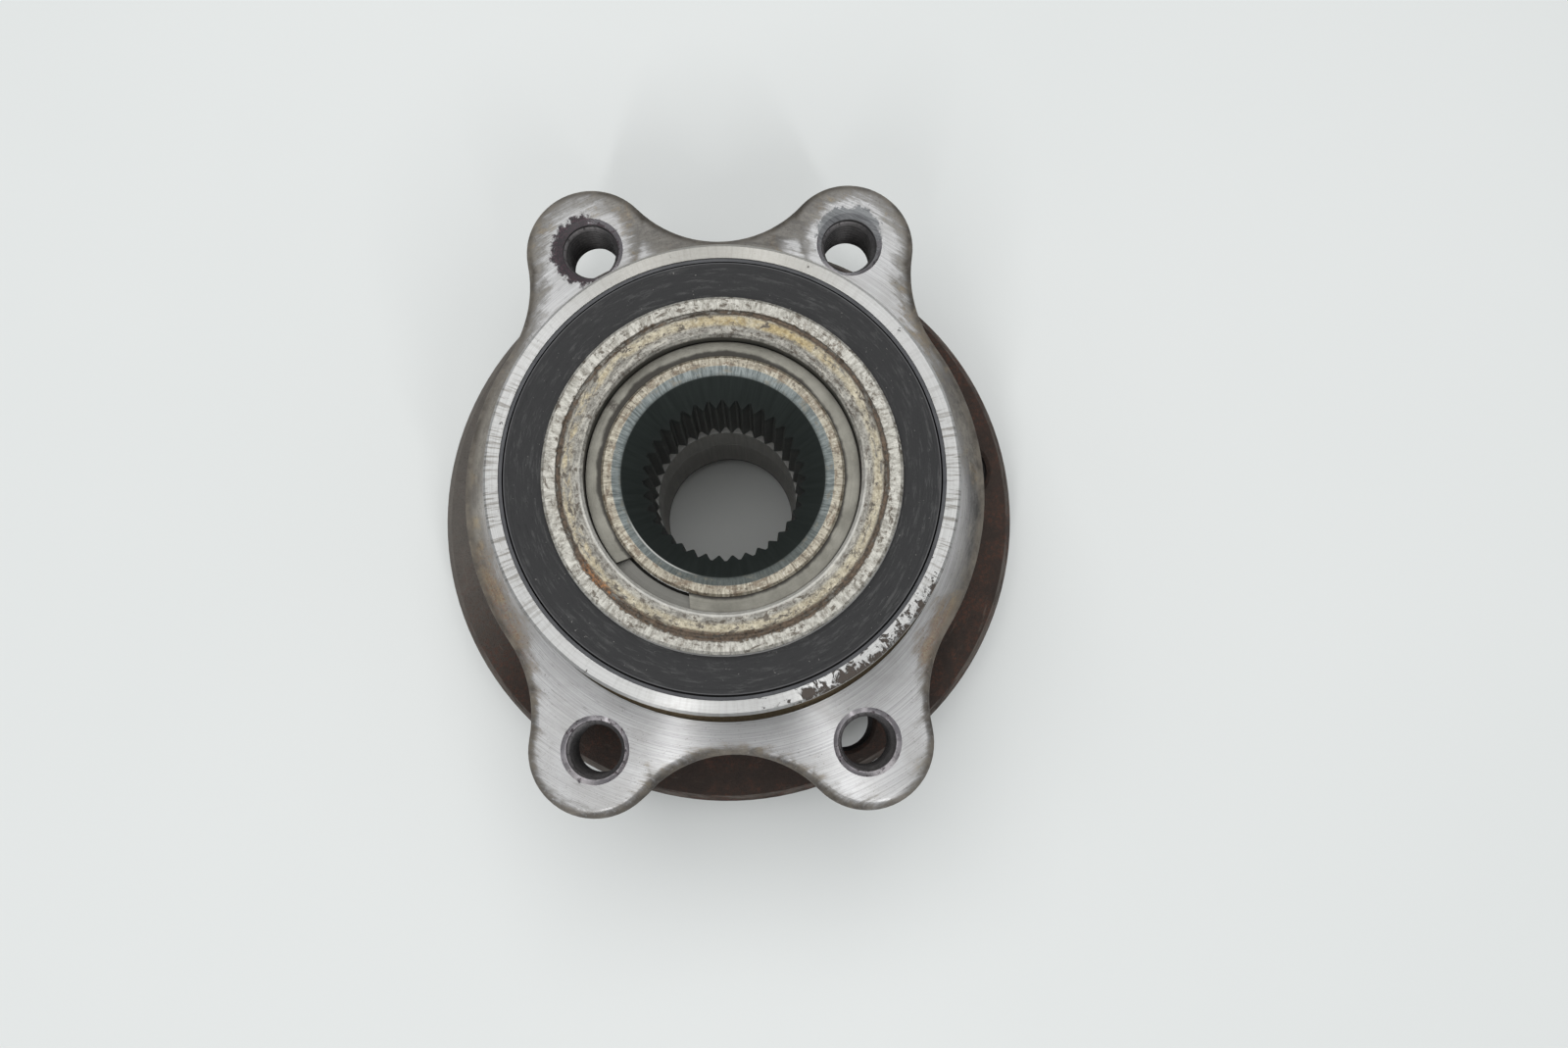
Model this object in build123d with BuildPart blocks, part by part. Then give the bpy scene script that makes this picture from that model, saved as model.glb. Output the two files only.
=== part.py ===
"""Flanged wheel hub bearing: outer ring with four threaded ears, driven hub, two rows of balls, seals."""

from build123d import *
import os
from math import atan2, cos, hypot, radians, sin, sqrt, tan

# All sizes in millimetres. Z runs from the wheel side (Z = 0, end of the wheel pilot) to the knuckle side.

# ---- rolling bearing ----
ball_diameter = 12.7
balls_per_row = 14
ball_to_seal_bore = 1.15
row_spacing = 21.0
seam_offset = 0.5
contact_angle = 36.0
race_conformity = 1.04
race_clearance = 0.10
shoulder_below_pitch = 1.2
land_above_pitch = 2.1

# ---- hub: wheel side ----
pilot_length = 11.0
wheel_pilot_radius = 33.25
disc_pilot_height = 4.5
pilot_step = 0.75
pilot_chamfer = 1.5
nut_recess_depth = 7.5
nut_seat_width = 9.3
nut_recess_draft = 2.5
flange_edge_wall = 4.5
wheel_flange_thickness = 9.0
rim_chamfer = 1.3
wheel_face_chamfer = 0.8
wheel_bolt_circle_radius = 56.0
wheel_bolt_count = 5
wheel_bolt_radius = 7.0
wheel_bolt_phase = -62.9
disc_screw_radius = 3.0
disc_screw_angle = 45.1
thread_chamfer = 0.8
root_rise = 8.0
root_to_bolts = 0.5
root_slope_width = 5.2
root_fillet = 3.0

# ---- hub: driven bore and journal ----
hub_wall = 8.8
bore_chamfer = 0.8
spline_teeth = 36
spline_depth = 1.2
spline_length = 27.0
spline_mouth_width = 2.3
spline_root_width = 0.5
spline_end_depth = 6.3
end_ring_width = 2.1
entrance_chamfer = 1.8
entrance_chamfer_depth = 1.3
journal_chamfer = 0.5
hub_end_recess = 2.7

# ---- retaining ring ----
collar_width = 0.9
retainer_thickness = 2.4
retainer_step = 3.0
retainer_fit = 0.2
retainer_groove_depth = 1.4
retainer_gap_angle = 34.0
retainer_gap_phase = -123.3
retainer_end_slant = 2.5

# ---- inner ring ----
inner_ring_proud = 2.4
inner_ring_wall = 11.3
inner_ring_chamfer = 0.6
face_groove_from_edge = 3.3
face_groove_width = 0.9
face_groove_depth = 0.4

# ---- outer ring ----
end_gap = 2.5
spigot_radius = 47.0
spigot_wall = 3.0
spigot_length = 19.9
spigot_chamfer = 0.6
barrel_wall = 2.0
barrel_chamfer = 1.2
barrel_fillet = 3.0
relief_width = 1.5
relief_depth = 0.9

# ---- knuckle flange ----
knuckle_thickness = 17.0
knuckle_face_width = 8.2
ear_radius = 14.0
ear_from_spigot = 13.3
ear_angle = 62.22
side_fillet_radius = 28.0
knuckle_edge_round = 2.0
knuckle_back_chamfer = 1.0
ear_bolt_radius = 6.0
ear_chamfer = 1.1
flank_centre = 200.0
flank_round = 10.0
flank_start_width = 2.8
flank_slope = 30.0

# ---- seals ----
outboard_seal_width = 5.55
inboard_seal_width = 4.65
seal_to_ball = 0.6
case_web_width = 5.2
case_setback = 0.3
sheet_thickness = 0.7
slinger_thickness = 0.6
lip_clearance = 0.08
lip_thickness = 0.5
lip_root_width = 1.0
lip_spread = 1.6
web_thickness = 0.8
encoder_thickness = 0.9
encoder_clearance = 0.4
encoder_step = 0.3
encoder_recess = 2.2

# ---- cages ----
cage_thickness = 3.2
cage_ring_width = 1.5
prong_reach = 3.8
pocket_clearance = 0.15
prong_slot_width = 1.2
prong_slot_depth = 2.2

# how closely an edge must match a size to be picked
pick_tolerance = 0.001

# ---- heights and radii that follow from the sizes above ----
ball_radius = ball_diameter / 2
seal_bore_radius = spigot_radius - spigot_wall
barrel_radius = seal_bore_radius + barrel_wall
pitch_radius = seal_bore_radius - ball_to_seal_bore - ball_radius
shoulder_radius = pitch_radius - shoulder_below_pitch
land_radius = pitch_radius + land_above_pitch
journal_radius = shoulder_radius - inner_ring_wall
hub_bore_radius = journal_radius - hub_wall
knuckle_body_radius = spigot_radius + knuckle_face_width
flank_start_radius = spigot_radius + flank_start_width
seal_window_radius = seal_bore_radius - case_web_width
encoder_radius = seal_bore_radius - sheet_thickness - encoder_clearance
face_groove_radius = shoulder_radius - face_groove_from_edge
retainer_radius = journal_radius + retainer_step
entrance_radius = journal_radius - end_ring_width - entrance_chamfer
nut_recess_radius = hub_bore_radius + nut_seat_width
disc_pilot_radius = wheel_pilot_radius + pilot_step
wheel_flange_radius = wheel_bolt_circle_radius + wheel_bolt_radius + flange_edge_wall
root_foot_radius = wheel_bolt_circle_radius - wheel_bolt_radius - thread_chamfer - root_to_bolts
root_radius = root_foot_radius - root_slope_width
groove_radius = race_conformity * ball_radius
groove_shift = groove_radius - ball_radius - race_clearance
shift_r = groove_shift * cos(radians(contact_angle))
shift_z = groove_shift * sin(radians(contact_angle))

wheel_face_z = pilot_length
flange_back_z = wheel_face_z + wheel_flange_thickness
root_face_z = flange_back_z + root_rise
outer_end_z = root_face_z + end_gap
outboard_row_z = outer_end_z + outboard_seal_width + seal_to_ball + ball_radius
inboard_row_z = outboard_row_z + row_spacing
middle_z = (outboard_row_z + inboard_row_z) / 2
outer_top_z = inboard_row_z + ball_radius + seal_to_ball + inboard_seal_width
inner_face_z = outer_top_z + inner_ring_proud
inner_ring_end_z = middle_z + seam_offset
hub_end_z = inner_face_z - hub_end_recess
retainer_top_z = hub_end_z - collar_width
retainer_end_z = retainer_top_z - retainer_thickness
knuckle_face_z = outer_top_z - spigot_length
knuckle_back_z = knuckle_face_z - knuckle_thickness
outboard_seat_z = outer_end_z + outboard_seal_width
inboard_seat_z = outer_top_z - inboard_seal_width
encoder_face_z = inner_face_z - encoder_recess
slinger_back_z = encoder_face_z - encoder_thickness - slinger_thickness
retainer_groove_radius = journal_radius - retainer_groove_depth
spline_root_radius = hub_bore_radius + spline_depth
spline_top_z = hub_end_z - spline_end_depth
entrance_z = hub_end_z - entrance_chamfer_depth
cone_slope = (entrance_radius - spline_root_radius) / (entrance_z - spline_top_z)
cone_foot_z = spline_top_z - spline_depth / cone_slope
pocket_radius = ball_radius + pocket_clearance

outer_race_r = pitch_radius - shift_r
inner_race_r = pitch_radius + shift_r
outer_race_bottom = outer_race_r + groove_radius
inner_race_bottom = inner_race_r - groove_radius
outer_race_half = sqrt(groove_radius**2 - (land_radius - outer_race_r) ** 2)
inner_race_half = sqrt(groove_radius**2 - (inner_race_r - shoulder_radius) ** 2)

os.makedirs("parts", exist_ok=True)


def save(part, node):
    """Label a finished piece and write it as its own STEP file."""
    part.label = node
    export_step(part, f"parts/{node}.step")


def on_circle(centre, radius, degrees):
    """The point of a circle at an angle."""
    return (centre[0] + radius * cos(radians(degrees)), centre[1] + radius * sin(radians(degrees)))


def mid_of_arc(centre, start, end):
    """The point half way along the shorter arc between two points of a circle."""
    radius = hypot(start[0] - centre[0], start[1] - centre[1])
    toward = ((start[0] + end[0]) / 2 - centre[0], (start[1] + end[1]) / 2 - centre[1])
    scale = radius / hypot(*toward)
    return (centre[0] + toward[0] * scale, centre[1] + toward[1] * scale)


def round_edges(part, radius):
    """The circular edges of a part that have a given radius."""
    circles = part.edges().filter_by(GeomType.CIRCLE)
    return circles.filter_by(lambda edge: abs(edge.radius - radius) < pick_tolerance)


# ---- knuckle flange outline: a round body, four ears, concave blends between them ----
ear_distance = spigot_radius + ear_from_spigot
ear = (ear_distance * cos(radians(ear_angle)), ear_distance * sin(radians(ear_angle)))
arch_rise = knuckle_body_radius - ear[1]
arch_radius = (ear[0] ** 2 + arch_rise**2 - ear_radius**2) / (2 * (ear_radius - arch_rise))
arch_centre = (0, knuckle_body_radius + arch_radius)
arch_share = ear_radius / (ear_radius + arch_radius)
arch_end = (ear[0] * (1 - arch_share), ear[1] + (arch_centre[1] - ear[1]) * arch_share)

blend_distance = knuckle_body_radius + side_fillet_radius
blend_to_ear = ear_radius + side_fillet_radius
blend_cosine = (ear_distance**2 + blend_distance**2 - blend_to_ear**2) / (2 * ear_distance * blend_distance)
blend_angle = atan2(ear[1], ear[0]) - atan2(sqrt(1 - blend_cosine**2), blend_cosine)
blend_centre = (blend_distance * cos(blend_angle), blend_distance * sin(blend_angle))
body_share = knuckle_body_radius / blend_distance
ear_share = ear_radius / blend_to_ear
blend_body_end = (blend_centre[0] * body_share, blend_centre[1] * body_share)
blend_ear_end = (
    ear[0] + (blend_centre[0] - ear[0]) * ear_share,
    ear[1] + (blend_centre[1] - ear[1]) * ear_share,
)
blend_middle = mid_of_arc(blend_centre, blend_body_end, blend_ear_end)
ear_middle = mid_of_arc(ear, blend_ear_end, arch_end)


def flip(point, x_sign, y_sign):
    """A point mirrored into another quadrant."""
    return (point[0] * x_sign, point[1] * y_sign)


def flank_point(angle):
    """A point on the arc where the machined face rolls over into a flank."""
    reach = flank_round * sin(radians(angle))
    drop = flank_round * (1 - cos(radians(angle)))
    return (flank_start_radius + reach, knuckle_face_z - drop)


# ---- outer ring: knuckle flange with four threaded ears, spigot, barrel and both outer raceways ----
with BuildPart() as outer_ring:
    with BuildSketch(Plane.XY.offset(knuckle_back_z)):
        with BuildLine():
            for side in (1, -1):
                side_middle = (side * knuckle_body_radius, 0)
                arch_middle = (0, side * knuckle_body_radius)
                ThreePointArc(flip(blend_body_end, side, -1), side_middle, flip(blend_body_end, side, 1))
                ThreePointArc(flip(arch_end, -1, side), arch_middle, flip(arch_end, 1, side))
                for top in (1, -1):
                    blend_end = flip(blend_ear_end, side, top)
                    ThreePointArc(flip(blend_body_end, side, top), flip(blend_middle, side, top), blend_end)
                    ThreePointArc(blend_end, flip(ear_middle, side, top), flip(arch_end, side, top))
        make_face()
    extrude(amount=knuckle_thickness)
    fillet(outer_ring.faces().sort_by(Axis.Z)[-1].edges(), knuckle_edge_round)
    chamfer(outer_ring.faces().sort_by(Axis.Z)[0].edges(), knuckle_back_chamfer)

    # the forged flanks roll over and slope away from the machined face on both sides
    for side in (1, -1):
        flank_start = flip((flank_start_radius, knuckle_face_z), side, 1)
        flank_middle = flip(flank_point(flank_slope / 2), side, 1)
        flank_bend = flip(flank_point(flank_slope), side, 1)
        flank_end = side * (knuckle_body_radius + ear_radius)
        flank_drop = abs(flank_end - flank_bend[0]) * tan(radians(flank_slope))
        with BuildSketch(Plane.XZ):
            with BuildLine():
                ThreePointArc(flank_start, flank_middle, flank_bend)
                Polyline(
                    flank_bend,
                    (flank_end, flank_bend[1] - flank_drop),
                    (flank_end, knuckle_face_z),
                    flank_start,
                )
            make_face()
        revolve(axis=Axis((-side * flank_centre, 0, 0), (0, 0, 1)), mode=Mode.SUBTRACT)

    # the middle is opened before the ring itself is added
    with BuildSketch(Plane.XY.offset(knuckle_back_z)):
        Circle((barrel_radius + seal_bore_radius) / 2)
    extrude(amount=knuckle_thickness, mode=Mode.SUBTRACT)

    lower_race = (outer_race_r, outboard_row_z - shift_z)
    upper_race = (outer_race_r, inboard_row_z + shift_z)
    lower_bottom = (outer_race_bottom, lower_race[1])
    upper_bottom = (outer_race_bottom, upper_race[1])
    lower_land = (land_radius, lower_race[1] + outer_race_half)
    upper_land = (land_radius, upper_race[1] - outer_race_half)
    with BuildSketch(Plane.XZ):
        with BuildLine():
            Polyline(
                lower_bottom,
                (outer_race_bottom, outboard_seat_z),
                (seal_bore_radius, outboard_seat_z),
                (seal_bore_radius, outer_end_z),
                (barrel_radius - barrel_chamfer, outer_end_z),
                (barrel_radius, outer_end_z + barrel_chamfer),
                (barrel_radius, knuckle_face_z - relief_depth),
                (spigot_radius, knuckle_face_z - relief_depth),
                (spigot_radius, outer_top_z - spigot_chamfer),
                (spigot_radius - spigot_chamfer, outer_top_z),
                (seal_bore_radius, outer_top_z),
                (seal_bore_radius, inboard_seat_z),
                (outer_race_bottom, inboard_seat_z),
                upper_bottom,
            )
            ThreePointArc(upper_bottom, mid_of_arc(upper_race, upper_bottom, upper_land), upper_land)
            Line(upper_land, lower_land)
            ThreePointArc(lower_land, mid_of_arc(lower_race, lower_land, lower_bottom), lower_bottom)
        make_face()
    revolve(axis=Axis.Z)

    # relief groove round the foot of the spigot
    with BuildSketch(Plane.XY.offset(knuckle_face_z)):
        Circle(spigot_radius + relief_width)
        Circle(spigot_radius, mode=Mode.SUBTRACT)
    extrude(amount=-relief_depth, mode=Mode.SUBTRACT)

    barrel_root = round_edges(outer_ring, barrel_radius).filter_by_position(
        Axis.Z, knuckle_back_z - pick_tolerance, knuckle_back_z + pick_tolerance
    )
    fillet(barrel_root, barrel_fillet)

    with BuildSketch(Plane.XY.offset(knuckle_back_z)):
        with GridLocations(2 * ear[0], 2 * ear[1], 2, 2):
            Circle(ear_bolt_radius)
    extrude(amount=knuckle_thickness, mode=Mode.SUBTRACT)
    chamfer(round_edges(outer_ring, ear_bolt_radius), ear_chamfer)
save(outer_ring.part, "outer_ring")

# ---- hub: wheel flange, pilot, outboard inner raceway, journal and splined bore ----
with BuildPart() as hub:
    race = (inner_race_r, outboard_row_z + shift_z)
    race_bottom = (inner_race_bottom, race[1])
    race_shoulder = (shoulder_radius, race[1] - inner_race_half)
    root_corner = (shoulder_radius + root_fillet, root_face_z + root_fillet)
    root_start = (shoulder_radius, root_face_z + root_fillet)
    root_end = (shoulder_radius + root_fillet, root_face_z)
    with BuildSketch(Plane.XZ):
        with BuildLine():
            Polyline(
                root_end,
                (root_radius, root_face_z),
                (root_foot_radius, flange_back_z),
                (wheel_flange_radius - rim_chamfer, flange_back_z),
                (wheel_flange_radius, flange_back_z - rim_chamfer),
                (wheel_flange_radius, wheel_face_z + wheel_face_chamfer),
                (wheel_flange_radius - wheel_face_chamfer, wheel_face_z),
                (disc_pilot_radius, wheel_face_z),
                (disc_pilot_radius, wheel_face_z - disc_pilot_height),
                (wheel_pilot_radius, wheel_face_z - disc_pilot_height - pilot_step),
                (wheel_pilot_radius, pilot_chamfer),
                (wheel_pilot_radius - pilot_chamfer, 0),
                (nut_recess_radius + nut_recess_draft, 0),
                (nut_recess_radius, nut_recess_depth),
                (hub_bore_radius + bore_chamfer, nut_recess_depth),
                (hub_bore_radius, nut_recess_depth + bore_chamfer),
                (hub_bore_radius, cone_foot_z),
                (entrance_radius, entrance_z),
                (entrance_radius + entrance_chamfer, hub_end_z),
                (journal_radius - journal_chamfer, hub_end_z),
                (journal_radius, hub_end_z - journal_chamfer),
                (journal_radius, retainer_top_z + retainer_fit),
                (retainer_groove_radius, retainer_top_z + retainer_fit),
                (retainer_groove_radius, retainer_end_z),
                (journal_radius, retainer_end_z),
                (journal_radius, inner_ring_end_z),
                (inner_race_bottom, inner_ring_end_z),
                race_bottom,
            )
            ThreePointArc(race_bottom, mid_of_arc(race, race_bottom, race_shoulder), race_shoulder)
            Line(race_shoulder, root_start)
            ThreePointArc(root_start, mid_of_arc(root_corner, root_start, root_end), root_end)
        make_face()
    revolve(axis=Axis.Z)

    # spline teeth stand between trapezoid spaces cut into the bore
    with BuildSketch(Plane.XY.offset(spline_top_z - spline_length)):
        with PolarLocations(0, spline_teeth):
            Polygon(
                (hub_bore_radius - spline_depth, spline_mouth_width / 2),
                (hub_bore_radius, spline_mouth_width / 2),
                (spline_root_radius, spline_root_width / 2),
                (spline_root_radius, -spline_root_width / 2),
                (hub_bore_radius, -spline_mouth_width / 2),
                (hub_bore_radius - spline_depth, -spline_mouth_width / 2),
            )
    extrude(amount=spline_length, mode=Mode.SUBTRACT)

    with BuildSketch(Plane.XY.offset(wheel_face_z)):
        with PolarLocations(wheel_bolt_circle_radius, wheel_bolt_count, start_angle=wheel_bolt_phase):
            Circle(wheel_bolt_radius)
        with PolarLocations(wheel_bolt_circle_radius, 1, start_angle=disc_screw_angle):
            Circle(disc_screw_radius)
    extrude(amount=wheel_flange_thickness, mode=Mode.SUBTRACT)
    chamfer(round_edges(hub, wheel_bolt_radius) + round_edges(hub, disc_screw_radius), thread_chamfer)
save(hub.part, "hub")

# ---- inner ring of the inboard row, pressed on the journal ----
with BuildPart() as inner_ring:
    race = (inner_race_r, inboard_row_z - shift_z)
    race_bottom = (inner_race_bottom, race[1])
    race_shoulder = (shoulder_radius, race[1] + inner_race_half)
    groove_inner = face_groove_radius - face_groove_width / 2
    groove_outer = face_groove_radius + face_groove_width / 2
    with BuildSketch(Plane.XZ):
        with BuildLine():
            Polyline(
                race_shoulder,
                (shoulder_radius, inner_face_z - inner_ring_chamfer),
                (shoulder_radius - inner_ring_chamfer, inner_face_z),
                (groove_outer, inner_face_z),
                (groove_outer, inner_face_z - face_groove_depth),
                (groove_inner, inner_face_z - face_groove_depth),
                (groove_inner, inner_face_z),
                (retainer_radius + retainer_fit + journal_chamfer, inner_face_z),
                (retainer_radius + retainer_fit, inner_face_z - journal_chamfer),
                (retainer_radius + retainer_fit, retainer_end_z),
                (journal_radius + inner_ring_chamfer, retainer_end_z),
                (journal_radius, retainer_end_z - inner_ring_chamfer),
                (journal_radius, inner_ring_end_z + inner_ring_chamfer),
                (journal_radius + inner_ring_chamfer, inner_ring_end_z),
                (inner_race_bottom - journal_chamfer, inner_ring_end_z),
                (inner_race_bottom, inner_ring_end_z + journal_chamfer),
                race_bottom,
            )
            ThreePointArc(race_bottom, mid_of_arc(race, race_bottom, race_shoulder), race_shoulder)
        make_face()
    revolve(axis=Axis.Z)
save(inner_ring.part, "inner_ring")

# ---- split retaining ring in the groove near the journal's end ----
with BuildPart() as retaining_ring:
    with BuildSketch(Plane.XY.offset(retainer_end_z)):
        Circle(retainer_radius)
        Circle(retainer_groove_radius + retainer_fit, mode=Mode.SUBTRACT)
        with BuildLine():
            narrow = retainer_gap_angle / 2 - retainer_end_slant
            wide = retainer_gap_angle / 2 + retainer_end_slant
            Polyline(
                (0, 0),
                on_circle((0, 0), retainer_groove_radius, retainer_gap_phase - narrow),
                on_circle((0, 0), retainer_radius / cos(radians(wide)), retainer_gap_phase - wide),
                on_circle((0, 0), retainer_radius / cos(radians(wide)), retainer_gap_phase + wide),
                on_circle((0, 0), retainer_groove_radius, retainer_gap_phase + narrow),
                close=True,
            )
        make_face(mode=Mode.SUBTRACT)
    extrude(amount=retainer_thickness)
save(retaining_ring.part, "retaining_ring")


def revolved(points):
    """A ring from a closed profile of (radius, height) points."""
    with BuildPart() as ring:
        with BuildSketch(Plane.XZ):
            with BuildLine():
                Polyline(*points, close=True)
            make_face()
        revolve(axis=Axis.Z)
    return ring.part


# ---- outboard seal: steel case in the outer ring, rubber lips on the hub ----
outboard_case_profile = [
    (seal_bore_radius, outer_end_z + case_setback),
    (seal_bore_radius, outboard_seat_z),
    (seal_window_radius, outboard_seat_z),
    (seal_window_radius, outboard_seat_z - sheet_thickness),
    (seal_bore_radius - sheet_thickness, outboard_seat_z - sheet_thickness),
    (seal_bore_radius - sheet_thickness, outer_end_z + case_setback),
]
save(revolved(outboard_case_profile), "outboard_seal_case")

shaft_line = shoulder_radius + lip_clearance
outer_lip_root = seal_window_radius + lip_thickness + lip_root_width
root_line = root_face_z + lip_clearance
outboard_web = outboard_seat_z - sheet_thickness - web_thickness
outboard_lip_profile = [
    (seal_window_radius, outboard_seat_z),
    (seal_window_radius - web_thickness, outboard_seat_z),
    (shaft_line, outboard_web - lip_thickness),
    (shaft_line, outboard_web - 2 * lip_thickness),
    (seal_window_radius - lip_thickness, outboard_web),
    (seal_window_radius + lip_thickness, outboard_web),
    (seal_window_radius + lip_spread, root_line),
    (seal_window_radius + lip_spread + lip_thickness, root_line),
    (outer_lip_root, outboard_web),
    (seal_bore_radius - sheet_thickness, outboard_web),
    (seal_bore_radius - sheet_thickness, outboard_seat_z - sheet_thickness),
    (seal_window_radius, outboard_seat_z - sheet_thickness),
]
save(revolved(outboard_lip_profile), "outboard_seal_lip")

# ---- inboard seal: steel case and rubber lips in the outer ring, slinger and encoder on the inner ring ----
inboard_case_profile = [
    (seal_bore_radius, outer_top_z - case_setback),
    (seal_bore_radius, inboard_seat_z),
    (seal_window_radius, inboard_seat_z),
    (seal_window_radius, inboard_seat_z + sheet_thickness),
    (seal_bore_radius - sheet_thickness, inboard_seat_z + sheet_thickness),
    (seal_bore_radius - sheet_thickness, outer_top_z - case_setback),
]
save(revolved(inboard_case_profile), "inboard_seal_case")

slinger_profile = [
    (shoulder_radius, inboard_seat_z + case_setback),
    (shoulder_radius + slinger_thickness, inboard_seat_z + case_setback),
    (shoulder_radius + slinger_thickness, slinger_back_z),
    (encoder_radius, slinger_back_z),
    (encoder_radius, slinger_back_z + slinger_thickness),
    (shoulder_radius, slinger_back_z + slinger_thickness),
]
save(revolved(slinger_profile), "slinger")

encoder_profile = [
    (shoulder_radius + encoder_step, slinger_back_z + slinger_thickness),
    (encoder_radius, slinger_back_z + slinger_thickness),
    (encoder_radius, encoder_face_z),
    (shoulder_radius + encoder_step, encoder_face_z),
]
save(revolved(encoder_profile), "encoder_ring")

sleeve_line = shoulder_radius + slinger_thickness + lip_clearance
slinger_line = slinger_back_z - lip_clearance
inboard_web = inboard_seat_z + sheet_thickness + web_thickness
inboard_lip_profile = [
    (seal_window_radius, inboard_seat_z),
    (seal_window_radius - web_thickness, inboard_seat_z),
    (sleeve_line, inboard_web),
    (sleeve_line, inboard_web + lip_thickness),
    (seal_window_radius - lip_thickness, inboard_web),
    (seal_window_radius + lip_thickness, inboard_web),
    (seal_window_radius + lip_spread, slinger_line),
    (seal_window_radius + lip_spread + lip_thickness, slinger_line),
    (outer_lip_root, inboard_web),
    (seal_bore_radius - sheet_thickness, inboard_web),
    (seal_bore_radius - sheet_thickness, inboard_seat_z + sheet_thickness),
    (seal_window_radius, inboard_seat_z + sheet_thickness),
]
save(revolved(inboard_lip_profile), "inboard_seal_lip")


def snap_cage(row_z, toward_middle):
    """A one-piece cage: a ring on the middle side, spherical pockets, split prongs that hold the balls."""
    ring_edge_z = row_z + toward_middle * (pocket_radius + cage_ring_width)
    prong_tip_z = row_z - toward_middle * prong_reach
    with BuildPart() as cage:
        with BuildSketch(Plane.XY.offset(min(ring_edge_z, prong_tip_z))):
            Circle(pitch_radius + cage_thickness / 2)
            Circle(pitch_radius - cage_thickness / 2, mode=Mode.SUBTRACT)
        extrude(amount=abs(ring_edge_z - prong_tip_z))
        with Locations((0, 0, row_z)):
            with PolarLocations(pitch_radius, balls_per_row):
                Sphere(pocket_radius, mode=Mode.SUBTRACT)
        with Locations((0, 0, prong_tip_z)):
            with PolarLocations(pitch_radius, balls_per_row, start_angle=180 / balls_per_row):
                Box(2 * cage_thickness, prong_slot_width, 2 * prong_slot_depth, mode=Mode.SUBTRACT)
    return cage.part


def ball(row_z, number):
    """One ball of a row, counted from the X axis."""
    centre = on_circle((0, 0), pitch_radius, number * 360 / balls_per_row)
    with BuildPart() as one_ball:
        with Locations((centre[0], centre[1], row_z)):
            Sphere(ball_radius)
    return one_ball.part


# ---- the two rows: cages with their rings towards the middle, and their balls ----
for row, row_z, toward_middle in (("outboard", outboard_row_z, 1), ("inboard", inboard_row_z, -1)):
    save(snap_cage(row_z, toward_middle), f"{row}_cage")
    for number in range(balls_per_row):
        save(ball(row_z, number), f"{row}_ball_{number + 1:02d}")
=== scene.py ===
"""Looks of the wheel hub bearing: materials, threads, wear, table, light and camera."""

from math import atan2, cos, pi, radians, sin

import bmesh
import bpy
from mathutils import Euler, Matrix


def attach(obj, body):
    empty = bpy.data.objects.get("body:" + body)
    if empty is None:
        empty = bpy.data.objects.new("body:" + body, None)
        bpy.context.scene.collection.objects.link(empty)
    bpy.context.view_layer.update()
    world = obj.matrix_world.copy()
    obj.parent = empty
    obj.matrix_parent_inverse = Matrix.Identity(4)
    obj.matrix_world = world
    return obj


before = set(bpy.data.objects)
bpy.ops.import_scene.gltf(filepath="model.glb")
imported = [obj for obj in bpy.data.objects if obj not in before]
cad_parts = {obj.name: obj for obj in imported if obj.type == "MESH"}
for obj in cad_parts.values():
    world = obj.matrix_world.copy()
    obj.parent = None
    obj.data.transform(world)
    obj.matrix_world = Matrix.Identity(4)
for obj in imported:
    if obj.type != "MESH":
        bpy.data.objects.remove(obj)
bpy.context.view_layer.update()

MM = 0.001

# ---------------------------------------------------------------- places on the part
# in millimetres and degrees; z grows from the wheel side to the knuckle side, and directions
# are counted from x towards y
ear_x = 28.1
ear_y = 53.35
ear_radius = 14.0
ear_hole_radius = 6.0
ear_chamfer = 1.1
ear_thread_minor = 5.2
knuckle_back = 38.7
knuckle_face = 55.7
knuckle_body_radius = 55.2
foot_groove_radius = 48.5
spigot_radius = 47.0
spigot_end = 75.6
seal_bore_radius = 44.0

# the hollow of the outline between two ears, and the one between an ear and the body
arch_centre_y = 79.77
arch_radius = 24.57
arch_half_width = 18.0
arch_fade_x = 2.0
arch_fade_y = (34.0, 44.0)
blend_centre_x = 69.43
blend_centre_y = 45.83
blend_radius = 28.0
blend_reach_y = (31.0, 49.5)
blend_fade_x = (24.0, 32.0)
blend_fade_y = 1.5

nut_seat = 7.5
wheel_face = 11.0
flange_back = 20.0
flange_radius = 67.5
flange_rim_chamfer = 1.3
flange_hole_chamfer = 0.8
root_face = 28.0
bolt_circle_radius = 56.0
bolt_count = 5
bolt_phase = -62.9
bolt_hole_radius = 7.0
bolt_thread_minor = 6.2
screw_angle = 45.1
screw_hole_radius = 3.0
screw_thread_minor = 2.5
coarse_pitch = 1.5
screw_pitch = 1.0

hub_end = 75.3
spline_bottom = 42.0
spline_top = 69.0
entrance_radius = 20.1
entrance_top_radius = 21.9
journal_radius = 24.0
inner_face = 78.0
retainer_radius = 27.0
face_groove_radius = 32.0
stain_radius = 31.9
cream_from_radius = 29.4
cream_to_radius = 31.3
ring_recess_radius = 27.7
encoder_radius = 42.9

# ---------------------------------------------------------------- settings of nodes, light and camera
least_length = 0.01          # keeps a division by a distance clear of zero
quarter_turn = 0.25          # of the brushed highlight, so that it crosses the turning marks
steps_per_turn = 40          # of a thread's helix
thread_sink = 0.04           # how far a thread's foot stands in the wall, in millimetres

table_half_width = 3.0       # this and the lamps' places are in metres
room_tint = (0.93, 0.96, 1.0)
room_strength = 0.34
lamp_aim = (0.0, 0.0, 0.05)
overhead_size = (1.5, 1.5)
strip_size = (0.07, 0.5)
white = (1.0, 1.0, 1.0)
warm_white = (1.0, 1.0, 0.99)

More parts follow.
